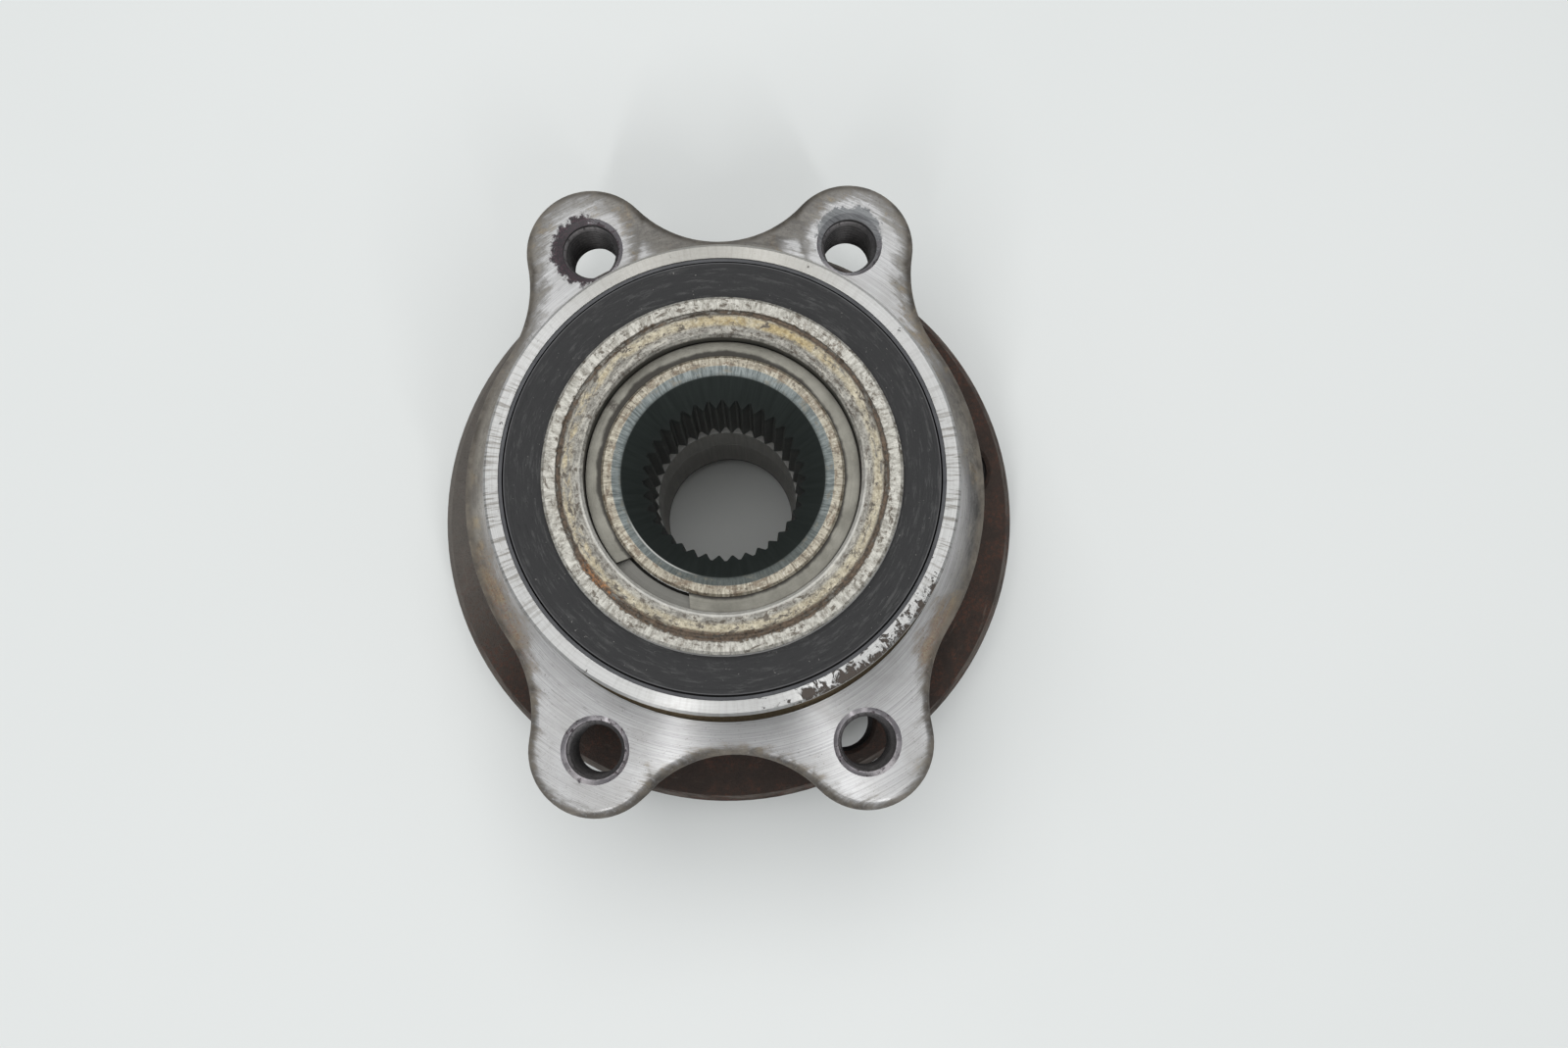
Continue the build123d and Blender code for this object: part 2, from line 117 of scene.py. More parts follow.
camera_place = (6.31, -42.48, 322.05)
camera_turn = (7.506, -1.031, -1.662)
sensor_width = 36.0
lens_length = 29.25
nearest_seen = 0.01


# ---------------------------------------------------------------- a short way to write material nodes
class Graph:
    """The node tree of one material. Lengths are millimetres on the part, and noise runs from 0 to 1."""

    def __init__(self, name):
        self.material = bpy.data.materials.new(name)
        self.material.use_nodes = True
        self.tree = self.material.node_tree
        self.shader = self.tree.nodes["Principled BSDF"]
        scaled = self.add("ShaderNodeVectorMath", operation="SCALE")
        self.link(self.add("ShaderNodeTexCoord").outputs["Object"], scaled.inputs[0])
        scaled.inputs["Scale"].default_value = 1 / MM
        self.place = scaled.outputs[0]
        split = self.add("ShaderNodeSeparateXYZ")
        self.link(self.place, split.inputs[0])
        self.x, self.y, self.z = split.outputs
        self.radius = self.distance(self.x, self.y)

    def add(self, kind, **settings):
        node = self.tree.nodes.new(kind)
        for key, value in settings.items():
            setattr(node, key, value)
        return node

    def link(self, source, target):
        self.tree.links.new(source, target)

    def feed(self, target, value):
        """Link a socket, or set a plain value."""
        if isinstance(value, bpy.types.NodeSocket):
            self.link(value, target)
        else:
            target.default_value = value

    def math(self, operation, first, second=0.0):
        node = self.add("ShaderNodeMath", operation=operation)
        self.feed(node.inputs[0], first)
        self.feed(node.inputs[1], second)
        return node.outputs[0]

    def times(self, *values):
        result = values[0]
        for value in values[1:]:
            result = self.math("MULTIPLY", result, value)
        return result

    def plus(self, *values):
        result = values[0]
        for value in values[1:]:
            result = self.math("ADD", result, value)
        return result

    def minus(self, first, second):
        return self.math("SUBTRACT", first, second)

    def most(self, first, second):
        return self.math("MAXIMUM", first, second)

    def size(self, value):
        """A number without its sign."""
        return self.math("ABSOLUTE", value)

    def over(self, value, length):
        """A number divided by a length that is kept clear of zero."""
        return self.math("DIVIDE", value, self.most(length, least_length))

    def distance(self, x, y):
        return self.math("SQRT", self.plus(self.times(x, x), self.times(y, y)))

    def invert(self, value):
        return self.minus(1.0, value)

    def rise(self, value, low, high):
        """0 below low, 1 above high, smooth between. With high below low it falls."""
        node = self.add("ShaderNodeMapRange", interpolation_type="SMOOTHSTEP")
        self.feed(node.inputs["Value"], value)
        node.inputs["From Min"].default_value = min(low, high)
        node.inputs["From Max"].default_value = max(low, high)
        node.inputs["To Min"].default_value = 0.0 if low < high else 1.0
        node.inputs["To Max"].default_value = 1.0 if low < high else 0.0
        return node.outputs["Result"]

    def band(self, value, low, high, soft):
        """1 between low and high, falling to 0 over a soft edge."""
        return self.times(
            self.rise(value, low - soft, low + soft),
            self.rise(value, high + soft, high - soft),
        )

    def combine(self, x, y, z):
        node = self.add("ShaderNodeCombineXYZ")
        for socket, value in zip(node.inputs, (x, y, z)):
            self.feed(socket, value)
        return node.outputs[0]

    def noise(self, where=None, scale=1.0, detail=4.0, rough=0.55, twist=0.0, seed=0.0):
        node = self.add("ShaderNodeTexNoise", noise_dimensions="4D")
        self.feed(node.inputs["Vector"], where or self.place)
        node.inputs["W"].default_value = seed
        node.inputs["Scale"].default_value = scale
        node.inputs["Detail"].default_value = detail
        node.inputs["Roughness"].default_value = rough
        node.inputs["Distortion"].default_value = twist
        return node.outputs["Fac"]

    def round_noise(self, around, across, along=0.0, **settings):
        """Noise with its own scale round the axis, outward and along it, and no seam."""
        scale = self.over(around, self.radius)
        where = self.combine(
            self.times(self.x, scale),
            self.times(self.y, scale),
            self.plus(self.times(self.radius, across), self.times(self.z, along)),
        )
        return self.noise(where, **settings)

    def sway(self, noise, reach):
        """Noise as a shift of up to half of reach to either side."""
        return self.times(self.minus(noise, 0.5), reach)

    def sector(self, degrees, width):
        """1 towards a direction round the axis, fading to 0 at an angle of width to either side."""
        facing = self.plus(
            self.times(self.x, cos(radians(degrees))),
            self.times(self.y, sin(radians(degrees))),
        )
        return self.rise(self.over(facing, self.radius), cos(radians(width)), 1.0)

    def colour(self, share, first, second):
        """A colour between first and second."""
        node = self.add("ShaderNodeMix", data_type="RGBA")
        self.feed(node.inputs["Factor"], share)
        for name, value in (("A", first), ("B", second)):
            socket = [s for s in node.inputs if s.name == name and s.type == "RGBA"][0]
            self.feed(socket, value if isinstance(value, bpy.types.NodeSocket) else (*value, 1.0))
        return [s for s in node.outputs if s.type == "RGBA"][0]

    def layers(self, colour, *coats):
        """A colour with others laid over it in turn, each given with its share."""
        for share, coat in coats:
            colour = self.colour(share, colour, coat)
        return colour

    def mix(self, share, first, second):
        """A number between first and second."""
        return self.plus(self.times(self.invert(share), first), self.times(share, second))

    def bump(self, height, depth, normal=None):
        """A bump from a height of 0 to 1 that stands for depth in millimetres."""
        node = self.add("ShaderNodeBump")
        node.inputs["Strength"].default_value = 1.0
        node.inputs["Distance"].default_value = depth * MM
        self.link(height, node.inputs["Height"])
        if normal is not None:
            self.link(normal, node.inputs["Normal"])
        return node.outputs["Normal"]

    def finish(self, colour, roughness, metal=0.0, normal=None, specular=0.5, brushed=0.0):
        """Feed the shader. A brushed metal has marks that run round the axis."""
        self.feed(self.shader.inputs["Base Color"], colour)
        self.feed(self.shader.inputs["Roughness"], roughness)
        self.feed(self.shader.inputs["Metallic"], metal)
        self.shader.inputs["Specular IOR Level"].default_value = specular
        if brushed:
            self.shader.inputs["Anisotropic"].default_value = brushed
            self.shader.inputs["Anisotropic Rotation"].default_value = quarter_turn
            round_axis = self.add("ShaderNodeTangent", direction_type="RADIAL", axis="Z")
            self.link(round_axis.outputs[0], self.shader.inputs["Tangent"])
        if normal is not None:
            self.link(normal, self.shader.inputs["Normal"])
        return self.material


# ---------------------------------------------------------------- materials
def ring_steel():
    """Outer ring: turned end and face, haze and rust along the outline, residue round the ear holes."""
    g = Graph("outer ring steel")
    blotch = g.noise(scale=0.09, detail=6.0, rough=0.62, twist=0.6, seed=1.0)
    patch = g.noise(scale=0.20, detail=6.0, rough=0.66, twist=0.5, seed=2.0)
    fine = g.noise(scale=1.6, detail=6.0, rough=0.7, seed=2.5)
    speck = g.noise(scale=3.2, detail=4.0, rough=0.65, seed=3.0)
    turned = g.round_noise(1.2, 5.0, 5.0, detail=5.0, rough=0.75, seed=4.0)
    ticks = g.round_noise(60.0, 0.12, 0.1, detail=4.0, rough=0.7, seed=6.0)
    drift = g.round_noise(8.0, 0.8, 0.8, detail=6.0, rough=0.72, seed=6.5)
    scratch = g.round_noise(10.0, 2.2, detail=5.0, rough=0.78, seed=7.0)
    ragged = g.noise(scale=0.60, detail=7.0, rough=0.76, twist=0.5, seed=8.0)
    flaked = g.round_noise(26.0, 0.42, detail=7.0, rough=0.78, twist=0.6, seed=9.0)

    # distance and direction from the nearest ear hole
    side = g.size(g.x)
    height = g.size(g.y)
    off_x = g.minus(side, ear_x)
    off_y = g.minus(height, ear_y)
    from_hole = g.distance(off_x, off_y)
    sideways = g.over(off_x, from_hole)
    endways = g.over(off_y, from_hole)

    # depth inside the flange's outline
    arch_depth = g.minus(g.distance(g.x, g.minus(height, arch_centre_y)), arch_radius)
    from_blend = g.distance(g.minus(side, blend_centre_x), g.minus(height, blend_centre_y))
    blend_depth = g.minus(from_blend, blend_radius)
    at_arch = g.times(
        g.rise(side, arch_half_width + arch_fade_x, arch_half_width - arch_fade_x),
        g.rise(height, *arch_fade_y),
    )
    at_blend = g.times(g.band(height, *blend_reach_y, blend_fade_y), g.rise(side, *blend_fade_x))
    body_depth = g.minus(knuckle_body_radius, g.radius)
    body_depth = g.mix(at_arch, body_depth, arch_depth)
    body_depth = g.mix(at_blend, body_depth, blend_depth)
    inside = g.most(body_depth, g.minus(ear_radius, from_hole))
    upper = g.rise(g.y, -6.0, 6.0)
    left = g.rise(g.x, 4.0, -4.0)

    # the surface that a point lies on, with edges softened over a few tenths
    bevel_radius = ear_hole_radius + ear_chamfer
    on_spigot = g.rise(g.z, knuckle_face + 0.3, knuckle_face + 0.6)
    off_spigot = g.invert(on_spigot)
    on_end = g.rise(g.z, spigot_end - 0.62, spigot_end - 0.45)
    on_face = g.times(g.rise(g.z, knuckle_face - 5.0, knuckle_face - 2.4), off_spigot)
    in_hole = g.times(g.rise(from_hole, ear_hole_radius + 0.12, ear_hole_radius + 0.02), off_spigot)
    on_bevel = g.times(g.rise(from_hole, bevel_radius + 0.05, bevel_radius - 0.1), g.invert(in_hole))

    # forged sides: dark grey-brown, rust in patches
    scuffed = (0.17, 0.155, 0.135)
    rust_brown = (0.16, 0.065, 0.026)
    rust = g.times(g.rise(patch, 0.50, 0.62), g.rise(speck, 0.42, 0.60), 0.7)
    forged = g.layers(
        g.colour(blotch, (0.050, 0.042, 0.036), (0.125, 0.110, 0.095)),
        (g.times(g.rise(fine, 0.46, 0.64), 0.5), scuffed),
        (rust, rust_brown),
    )

    # turned face with scratches that run round the axis, with painted shade where it rolls over into the
    # flanks
    tarnish = (0.25, 0.245, 0.235)
    scratch_dirt = (0.10, 0.094, 0.085)
    # painted shade on the flanks: darker towards the outline, paler and browner on the left
    flank = g.times(
        g.rise(off_y, -20.0, -34.0),
        g.rise(g.radius, spigot_radius + 1.2, knuckle_body_radius - 2.0),
    )
    dull = g.colour(
        g.rise(drift, 0.34, 0.66),
        g.colour(left, (0.045, 0.043, 0.040), (0.100, 0.088, 0.072)),
        g.colour(left, (0.150, 0.145, 0.138), (0.34, 0.32, 0.28)),
    )
    face = g.layers(
        g.colour(g.rise(turned, 0.30, 0.70), (0.27, 0.27, 0.27), (0.46, 0.46, 0.465)),
        (g.times(g.rise(blotch, 0.42, 0.66), 0.40), tarnish),
        (g.times(g.rise(scratch, 0.56, 0.68), g.mix(left, 0.35, 0.60)), scratch_dirt),
        (g.times(flank, g.mix(left, 0.90, 0.80)), dull),
    )

    # haze that thickens towards the outline: taupe above, ochre and rust lower down
    rust_orange = (0.20, 0.082, 0.030)
    spot_brown = (0.060, 0.045, 0.034)
    ragged_depth = g.plus(inside, g.sway(drift, -13.0), g.sway(patch, -5.0))
    reach = g.plus(
        1.5,
        g.times(upper, 2.3),
        g.times(g.sector(90.0, 25.0), 4.0),
        g.times(g.sector(-158.0, 22.0), 3.0),
        g.times(g.sector(-36.0, 12.0), 2.8),
    )
    haze = g.rise(g.minus(ragged_depth, reach), 1.6, -2.6)
    tone = g.rise(g.plus(g.times(drift, 0.7), g.times(fine, 0.3)), 0.36, 0.64)
    taupe = g.colour(tone, (0.070, 0.061, 0.050), (0.235, 0.218, 0.188))
    ochre = g.colour(tone, (0.090, 0.058, 0.029), (0.32, 0.25, 0.145))
    warm_places = g.most(
        g.most(g.times(g.sector(-90.0, 24.0), 0.15), g.times(g.sector(37.0, 15.0), 0.17)),
        g.most(g.times(g.sector(-35.0, 12.0), 0.24), g.times(g.sector(-152.0, 26.0), 0.16)),
    )
    warm = g.rise(g.plus(patch, warm_places), 0.54, 0.70)
    rusty = g.times(
        g.most(g.sector(-150.0, 22.0), g.sector(-37.0, 11.0)),
        g.rise(speck, 0.44, 0.60),
        0.75,
    )
    film = g.layers(taupe, (warm, ochre), (rusty, rust_orange))
    spots = g.times(g.rise(speck, 0.60, 0.68), g.rise(ragged_depth, 9.0, 2.0), 0.7)

    # narrow rolled edge of the face, and the groove at the spigot's foot
    edge = g.times(on_face, g.rise(g.plus(inside, g.times(ragged_depth, 0.3)), 2.9, 0.9))
    edge_film = g.colour(g.rise(patch, 0.34, 0.66), (0.045, 0.037, 0.029), (0.165, 0.145, 0.118))
    foot = g.times(
        g.band(g.radius, spigot_radius - 0.2, foot_groove_radius + 0.05, 0.12),
        g.rise(g.z, knuckle_face - 0.08, knuckle_face - 0.4),
    )
    foot_dirt = g.colour(fine, (0.022, 0.017, 0.011), (0.115, 0.090, 0.058))

    # residue round each hole: thick and dark at the upper left, a grey smear at the upper right
    black_growth = g.plus(ear_hole_radius + 0.5, g.times(g.rise(sideways, -0.35, 0.45), 1.8))
    smear_growth = g.plus(ear_hole_radius + 0.3, g.times(g.rise(endways, 0.0, 0.8), 2.3))
    growth = g.mix(upper, ear_hole_radius + 0.2, g.mix(left, smear_growth, black_growth))
    spread = g.plus(from_hole, g.sway(ragged, -8.0))
    residue = g.times(
        g.rise(g.minus(spread, growth), 0.45, -0.45),
        g.rise(from_hole, ear_hole_radius + 5.0, ear_hole_radius + 3.6),
    )
    maroon = g.colour(g.rise(speck, 0.44, 0.68), (0.009, 0.006, 0.009), (0.075, 0.028, 0.042))
    smear = g.colour(g.rise(scratch, 0.35, 0.65), (0.060, 0.068, 0.074), (0.24, 0.25, 0.255))
    on_smear = g.times(upper, g.invert(left))
    grime = g.colour(on_smear, maroon, smear)
    face = g.layers(
        face,
        (g.times(haze, g.mix(upper, 0.74, 0.80)), film),
        (spots, spot_brown),
        (g.times(edge, g.rise(fine, 0.26, 0.50), 0.86), edge_film),
        (foot, foot_dirt),
        (g.times(residue, g.mix(on_smear, 0.95, 0.80)), grime),
    )

    # spigot wall and its end face, eaten away in ragged steps at the lower right
    wall_stain = (0.15, 0.115, 0.075)
    tick_brown = (0.13, 0.118, 0.10)
    drift_grey = (0.19, 0.175, 0.15)
    wall = g.layers(
        g.colour(turned, (0.24, 0.235, 0.22), (0.46, 0.455, 0.44)),
        (g.times(g.rise(blotch, 0.46, 0.66), 0.65), wall_stain),
    )
    ticked = g.plus(g.times(g.most(g.sector(182.0, 46.0), g.sector(-6.0, 34.0)), 0.55), 0.12)
    across = g.minus(g.radius, (seal_bore_radius + spigot_radius) / 2)
    eaten = g.times(g.sector(-52.0, 37.0), g.plus(0.150, g.times(across, 0.055)))
    chips = g.rise(g.plus(flaked, eaten), 0.640, 0.668)
    end = g.layers(
        g.colour(g.rise(turned, 0.30, 0.70), (0.34, 0.34, 0.335), (0.46, 0.46, 0.455)),
        # painted shade: the end face is greyer towards the top
        (g.times(g.sector(92.0, 48.0), 0.72), g.colour(fine, (0.20, 0.19, 0.165), (0.36, 0.35, 0.32))),
        (g.times(ticked, g.rise(ticks, 0.48, 0.60)), tick_brown),
        (g.times(g.rise(drift, 0.57, 0.70), 0.35), drift_grey),
        (g.times(chips, 0.95), g.colour(fine, (0.014, 0.010, 0.008), (0.066, 0.044, 0.028))),
    )

    # bevels and walls of the ear holes
    bevel_dirt = g.most(g.times(residue, upper), g.times(g.invert(upper), g.rise(ragged, 0.53, 0.60)))
    bevel = g.layers(
        g.colour(fine, (0.36, 0.33, 0.35), (0.74, 0.71, 0.73)),
        (g.times(bevel_dirt, 0.88), grime),
    )
    hole_wall = g.colour(fine, (0.020, 0.019, 0.020), (0.085, 0.080, 0.080))

    colour = g.layers(
        forged,
        (on_face, face),
        (on_spigot, wall),
        (on_end, end),
        (g.times(on_bevel, 0.94), bevel),
        (in_hole, hole_wall),
    )
    machined = g.most(on_face, on_spigot)
    face_dirt = g.most(residue, g.times(g.most(haze, edge), 0.85))
    dirt = g.most(g.times(on_face, face_dirt), g.times(on_end, chips))
    metal = g.mix(machined, 0.20, g.mix(dirt, 0.95, 0.05))
    roughness = g.mix(machined, 0.66, g.mix(dirt, g.mix(turned, 0.33, 0.41), 0.60))
    forged_bump = g.bump(g.times(g.plus(blotch, fine, speck), g.invert(machined)), 0.34)
    on_turned = g.most(on_face, g.times(on_spigot, g.invert(on_end)))
    turned_bump = g.bump(g.times(g.plus(turned, scratch), on_turned), 0.006, forged_bump)
    normal = g.bump(g.times(g.plus(g.times(ticks, 0.4), g.times(chips, -2.5)), on_end), 0.07, turned_bump)
    return g.finish(colour, roughness, metal, normal, brushed=1.0)


def hub_steel():
    """Hub: rusted flange, turned seats, worn journal end, dark oily bore."""
    g = Graph("hub steel")
    blotch = g.noise(scale=0.11, detail=6.0, rough=0.62, twist=0.8, seed=11.0)
    fine = g.noise(scale=1.3, detail=6.0, rough=0.7, seed=12.0)
    speck = g.noise(scale=3.5, detail=4.0, rough=0.65, seed=13.0)
    turned = g.round_noise(1.0, 4.0, 4.0, detail=5.0, rough=0.75, seed=14.0)
    ticks = g.round_noise(44.0, 0.22, 0.1, detail=5.0, rough=0.74, seed=15.0)
    streaks = g.round_noise(22.0, 0.05, 0.05, detail=4.0, rough=0.65, seed=16.0)
    drifts = g.round_noise(7.0, 0.8, detail=5.0, rough=0.7, seed=17.0)

    # flange: painted sheen of light in grey-brown at the upper left, dark oil and red rust elsewhere
    rust_red = (0.105, 0.042, 0.026)
    black_speck = (0.012, 0.010, 0.010)
    pale_drift = (0.19, 0.165, 0.14)
    rim_wear = (0.17, 0.15, 0.13)
    # painted sheen: paler grey-brown skin towards the left
    lit_side_sheen = g.times(g.sector(160.0, 62.0), 0.85)
    dark_skin = g.colour(blotch, (0.020, 0.014, 0.012), (0.070, 0.046, 0.034))
    sheen_skin = g.colour(blotch, (0.085, 0.076, 0.066), (0.215, 0.200, 0.180))
    red = g.times(g.rise(fine, 0.44, 0.62), g.rise(blotch, 0.42, 0.58), 0.75)
    rim_height = g.minus(g.z, flange_back - flange_rim_chamfer)
    rim_reach = g.minus(g.radius, flange_radius - flange_rim_chamfer)
    rim = g.times(g.rise(rim_height, -0.1, 0.15), g.rise(rim_reach, -0.15, 0.1))
    skin = g.layers(
        dark_skin,
        (lit_side_sheen, sheen_skin),
        (g.times(red, g.invert(lit_side_sheen)), rust_red),
        (g.times(g.rise(speck, 0.56, 0.66), 0.55), black_speck),
        (g.times(g.rise(drifts, 0.60, 0.70), 0.40), pale_drift),
        (g.times(rim, g.rise(drifts, 0.40, 0.60), 0.6), rim_wear),
    )

    # wheel side: turned, with a thin film of rust
    rust = g.colour(g.rise(fine, 0.34, 0.66), (0.055, 0.027, 0.016), (0.185, 0.088, 0.044))
    rust_spread = g.plus(g.times(blotch, 0.45), g.times(drifts, 0.25), g.times(fine, 0.30))
    seat = g.layers(
        g.colour(turned, (0.20, 0.18, 0.16), (0.46, 0.44, 0.41)),
        (g.times(g.rise(rust_spread, 0.47, 0.57), 0.75), rust),
    )

    # plain shaft between the rows and at the journal
    shaft = g.colour(turned, (0.42, 0.42, 0.41), (0.66, 0.66, 0.65))

    # end of the journal: cream and brown streaks, worn through by small ticks
    drift_brown = (0.150, 0.110, 0.072)
    dirt_brown = (0.070, 0.055, 0.040)
    worn_bright = (0.68, 0.66, 0.59)
    end = g.layers(
        g.colour(g.rise(ticks, 0.32, 0.68), (0.16, 0.135, 0.098), (0.50, 0.465, 0.375)),
        (g.times(g.rise(drifts, 0.48, 0.60), 0.80), drift_brown),
        (g.times(g.rise(fine, 0.52, 0.62), 0.80), dirt_brown),
        (g.times(g.rise(fine, 0.42, 0.34), 0.5), worn_bright),
    )

    # chamfered mouth: blue-grey, with painted shade below and along its inner edge, and a painted
    # highlight arc at the lower left
    shaded = (0.085, 0.095, 0.085)
    tan_drift = (0.30, 0.27, 0.21)
    inner_shade = (0.045, 0.055, 0.052)
    highlight_white = (0.88, 0.88, 0.84)
    dark_mouth = g.rise(g.radius, entrance_radius + 0.75, entrance_radius + 0.05)
    # painted highlight: a bright arc on the mouth at the lower left
    highlight_arc = g.times(g.sector(228.0, 30.0), g.band(g.radius, entrance_radius, entrance_radius + 0.35, 0.2))
    mouth = g.layers(
        g.colour(g.rise(ticks, 0.32, 0.68), (0.11, 0.130, 0.128), (0.40, 0.44, 0.43)),
        (g.times(g.sector(-80.0, 80.0), 0.70), shaded),
        (g.times(g.rise(drifts, 0.54, 0.64), 0.6), tan_drift),
        (g.times(dark_mouth, 0.55), inner_shade),
        (g.times(highlight_arc, 0.85), highlight_white),
    )

    # bore: black-green oil in the entrance, oily grey spline, lighter plain bore beyond
    far_rim_dirt = (0.04, 0.03, 0.025)
    oil = g.colour(streaks, (0.032, 0.039, 0.036), (0.080, 0.094, 0.088))
    spline = g.colour(fine, (0.062, 0.066, 0.062), (0.150, 0.155, 0.146))
    plain = g.colour(streaks, (0.26, 0.255, 0.24), (0.50, 0.49, 0.47))
    far_rim = g.rise(g.z, nut_seat + 2.7, nut_seat + 1.1)
    bore = g.layers(
        plain,
        (g.rise(g.z, spline_bottom - 0.2, spline_bottom + 0.2), spline),
        (g.rise(g.z, spline_top - 7.0, spline_top + 1.0), oil),
        (g.times(far_rim, 0.85), far_rim_dirt),
    )

    # the surface that a point lies on
    on_wheel_side = g.rise(g.z, wheel_face + 0.25, wheel_face + 0.05)
    on_shaft = g.rise(g.z, root_face + 0.3, root_face + 0.8)
    at_end = g.rise(g.z, hub_end - 1.32, hub_end - 1.2)
    on_mouth = g.times(at_end, g.rise(g.radius, entrance_top_radius + 0.08, entrance_top_radius - 0.08))
    in_bore = g.times(
        g.rise(g.radius, entrance_radius + 0.15, entrance_radius),
        g.rise(g.z, nut_seat + 0.4, nut_seat + 0.6),
    )
    colour = g.layers(
        skin,
        (on_wheel_side, seat),
        (on_shaft, shaft),
        (at_end, end),
        (on_mouth, mouth),
        (in_bore, bore),
    )
    bare = g.most(on_shaft, g.times(on_wheel_side, 0.6))
    metal = g.mix(bare, 0.15, g.mix(at_end, 0.85, g.mix(in_bore, 0.30, 0.6)))
    roughness = g.mix(bare, 0.68, g.mix(in_bore, 0.42, 0.58))
    forged_bump = g.bump(g.times(g.plus(blotch, fine, speck), g.invert(bare)), 0.40)
    turned_bump = g.bump(g.times(turned, bare, g.invert(at_end)), 0.03, forged_bump)
    normal = g.bump(g.times(g.plus(ticks, fine), at_end, g.invert(in_bore)), 0.10, turned_bump)
    return g.finish(colour, roughness, metal, normal)


def bearing_steel():
    """Inner ring: scratched pale edge, stained groove, cream band, mottled grey face."""
    g = Graph("inner ring steel")
    blotch = g.noise(scale=0.20, detail=6.0, rough=0.66, twist=0.8, seed=21.0)
    fine = g.noise(scale=1.3, detail=7.0, rough=0.75, seed=22.0)
    speck = g.noise(scale=2.4, detail=5.0, rough=0.70, seed=23.0)
    ticks = g.round_noise(40.0, 0.45, detail=7.0, rough=0.80, twist=0.3, seed=24.0)
    turned = g.round_noise(1.0, 4.5, 4.5, detail=5.0, rough=0.75, seed=25.0)
    drifts = g.round_noise(7.0, 0.9, detail=6.0, rough=0.72, twist=0.6, seed=26.0)
    pits = g.round_noise(16.0, 0.9, detail=6.0, rough=0.74, twist=0.5, seed=27.0)

    # pale edge, ticked all the way across and bitten by brown spots
    tick_dirt = (0.075, 0.058, 0.042)
    spot_brown = (0.115, 0.085, 0.055)
    edge_pit = (0.080, 0.062, 0.044)
    spots = g.times(g.rise(blotch, 0.49, 0.60), g.rise(fine, 0.46, 0.58), 0.85)
    edge = g.layers(
        g.colour(g.rise(ticks, 0.34, 0.62), (0.20, 0.185, 0.155), (0.60, 0.585, 0.53)),
        (g.times(g.rise(ticks, 0.42, 0.34), g.rise(drifts, 0.44, 0.58), 0.9), tick_dirt),
        (g.times(spots, g.mix(g.sector(28.0, 62.0), 0.45, 1.0)), spot_brown),
        (g.times(g.rise(pits, 0.54, 0.61), 0.85), edge_pit),
    )

    # cream band, fullest above and below, ochre at the top and more faintly at the left
    cream_share = g.plus(g.times(g.sector(84.0, 60.0), 0.16), g.times(g.sector(-60.0, 110.0), 0.12))
    cream = g.times(
        g.band(g.radius, cream_from_radius, cream_to_radius, 0.5),
        g.rise(g.plus(drifts, cream_share), 0.45, 0.57),
        g.rise(pits, 0.60, 0.52),
    )
    pale_cream = g.colour(g.rise(fine, 0.35, 0.65), (0.27, 0.225, 0.150), (0.66, 0.60, 0.45))
    ochre = g.colour(g.rise(fine, 0.35, 0.65), (0.29, 0.21, 0.092), (0.60, 0.49, 0.27))
    ochre_places = g.most(g.sector(72.0, 38.0), g.times(g.sector(176.0, 60.0), 0.4))
    band_tone = g.colour(g.times(ochre_places, g.rise(blotch, 0.36, 0.52)), pale_cream, ochre)

    # grey face with pits and pale crusts
    crust = (0.54, 0.51, 0.43)
    speck_dirt = (0.065, 0.053, 0.038)
    face_pit = (0.070, 0.054, 0.038)
    tone = g.plus(g.times(drifts, 0.55), g.times(fine, 0.45))
    face = g.layers(
        g.colour(g.rise(tone, 0.38, 0.62), (0.13, 0.122, 0.106), (0.43, 0.415, 0.37)),
        (g.times(g.rise(drifts, 0.52, 0.66), 0.50), crust),
        (g.times(g.rise(speck, 0.55, 0.63), 0.80), speck_dirt),
        (g.times(g.rise(pits, 0.52, 0.60), 0.85), face_pit),
        (g.times(cream, 0.92), band_tone),
    )

    # brown stain along the groove, broken at the upper left, with some orange at the lower left
    rust_orange = (0.46, 0.20, 0.065)
    stain_middle = g.plus(stain_radius, g.sway(drifts, 2.0))
    off_stain = g.plus(
        g.size(g.minus(g.radius, stain_middle)),
        g.times(fine, -2.0),
        g.times(g.sector(-95.0, 80.0), -0.35),
    )
    broken = g.plus(drifts, g.times(g.sector(125.0, 55.0), -0.07))
    stained = g.times(g.rise(off_stain, -0.30, -0.75), g.rise(broken, 0.38, 0.50))
    orange = g.times(g.sector(-139.0, 12.0), g.rise(speck, 0.46, 0.60))
    stain = g.layers(
        g.colour(g.rise(fine, 0.36, 0.64), (0.030, 0.020, 0.012), (0.150, 0.098, 0.060)),
        (g.times(orange, 0.9), rust_orange),
    )

    # painted highlight on the inner lip in the lower half, and the ring's side beneath its face
    lip_highlight = (0.60, 0.59, 0.55)
    on_edge = g.rise(g.radius, face_groove_radius + 0.4, face_groove_radius + 0.6)
    on_top = g.rise(g.z, inner_face - 1.3, inner_face - 1.1)
    inner_lip = g.rise(g.radius, ring_recess_radius + 0.55, ring_recess_radius + 0.25)
    side = g.colour(turned, (0.075, 0.073, 0.066), (0.15, 0.147, 0.135))
    top = g.layers(
        face,
        (on_edge, edge),
        (g.times(stained, 0.92), stain),
        # painted highlight along the lower half of the inner lip
        (g.times(inner_lip, g.rise(g.y, 8.0, -8.0), 0.6), lip_highlight),
    )
    colour = g.colour(on_top, side, top)

    dull = g.times(g.most(cream, stained), on_top)
    metal = g.mix(dull, g.mix(on_top, 0.85, 0.35), 0.05)
    roughness = g.mix(dull, g.mix(fine, 0.32, 0.50), 0.7)
    tick_bump = g.bump(g.times(ticks, on_edge, on_top), 0.09)
    pit_bump = g.bump(g.times(g.plus(fine, speck, g.times(stained, -1.0)), on_top), 0.13, tick_bump)
    normal = g.bump(g.times(turned, g.invert(on_top)), 0.03, pit_bump)
    return g.finish(colour, roughness, metal, normal)


